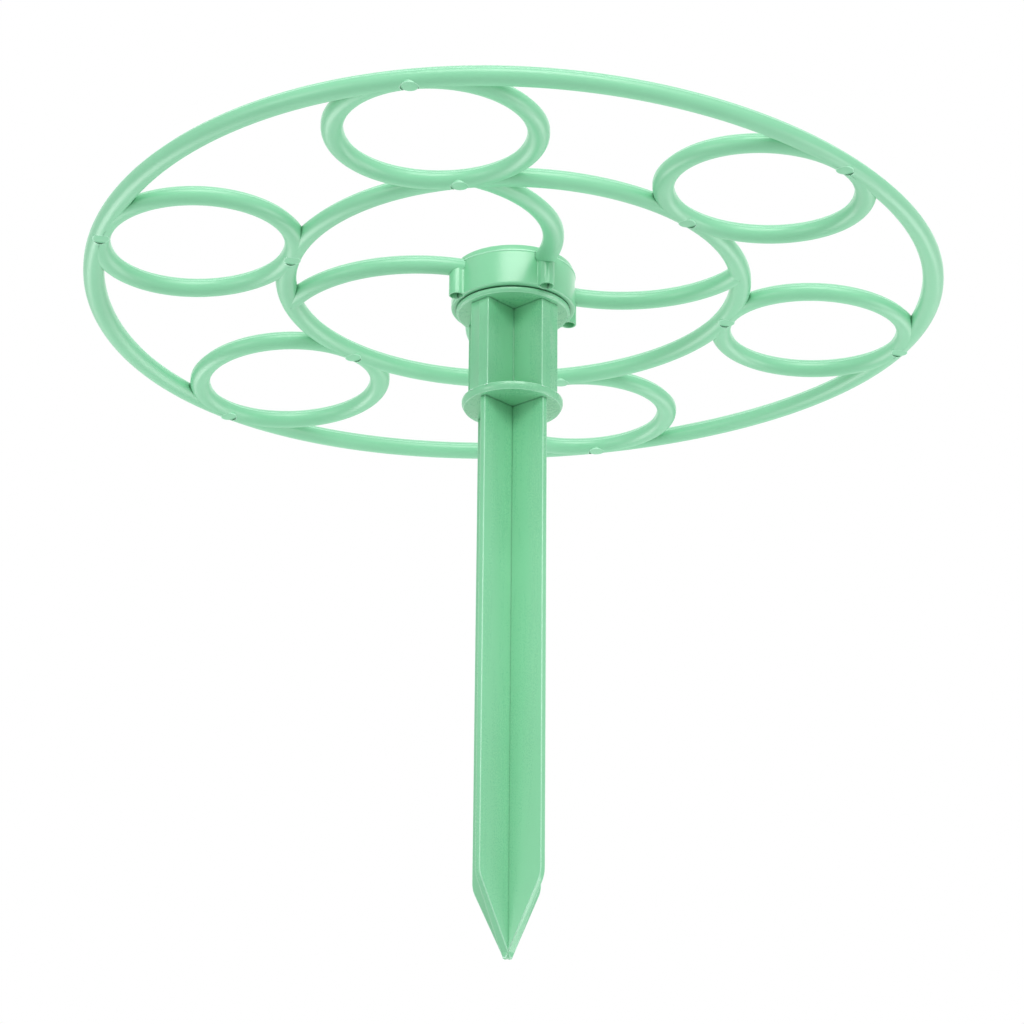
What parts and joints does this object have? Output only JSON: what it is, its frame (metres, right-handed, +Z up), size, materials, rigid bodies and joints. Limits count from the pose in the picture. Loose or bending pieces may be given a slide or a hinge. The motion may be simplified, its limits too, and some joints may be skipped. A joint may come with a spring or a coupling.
{
  "type": "plant support rack",
  "caption": "Green plastic plant support: a round rack of plant loops whose hub turns on, and lifts off, a pointed cross-shaped ground stake.",
  "frame": {"origin": "the stake's tip, on the stake's axis", "axes": "+Z up along the stake towards the rack; +X and +Y level, +Y through the middle of a plant loop"},
  "size_m": [0.301, 0.301, 0.2493],
  "materials": {
    "rack_plastic": "satin moulded",
    "stake_plastic": "satin moulded"
  },
  "bodies": {
    "stake": {"stake_blade": "stake_plastic", "lower_flange": "stake_plastic", "stake_neck": "stake_plastic", "upper_flange": "stake_plastic", "stake_spigot": "stake_plastic"},
    "socket": {"hub_socket": "rack_plastic"},
    "rack": {"hub": "rack_plastic", "spoke_1": "rack_plastic", "spoke_2": "rack_plastic", "spoke_3": "rack_plastic", "spoke_4": "rack_plastic", "inner_ring_arc_1": "rack_plastic", "inner_ring_arc_2": "rack_plastic", "inner_ring_arc_3": "rack_plastic", "inner_ring_arc_4": "rack_plastic", "inner_ring_arc_5": "rack_plastic", "inner_ring_arc_6": "rack_plastic", "outer_ring_arc_1": "rack_plastic", "outer_ring_arc_2": "rack_plastic", "outer_ring_arc_3": "rack_plastic", "outer_ring_arc_4": "rack_plastic", "outer_ring_arc_5": "rack_plastic", "outer_ring_arc_6": "rack_plastic", "plant_loop_1": "rack_plastic", "plant_loop_2": "rack_plastic", "plant_loop_3": "rack_plastic", "plant_loop_4": "rack_plastic", "plant_loop_5": "rack_plastic", "plant_loop_6": "rack_plastic"}
  },
  "joints": [
    {"name": "rack_lift", "type": "slide", "parent": "stake", "child": "socket", "axis": [0, 0, 1], "range_m": [0, 0.02]},
    {"name": "rack_turn", "type": "hinge", "parent": "socket", "child": "rack", "pos_m": [0, 0, 0.24525], "axis": [0, 0, 1], "continuous": true}
  ]
}
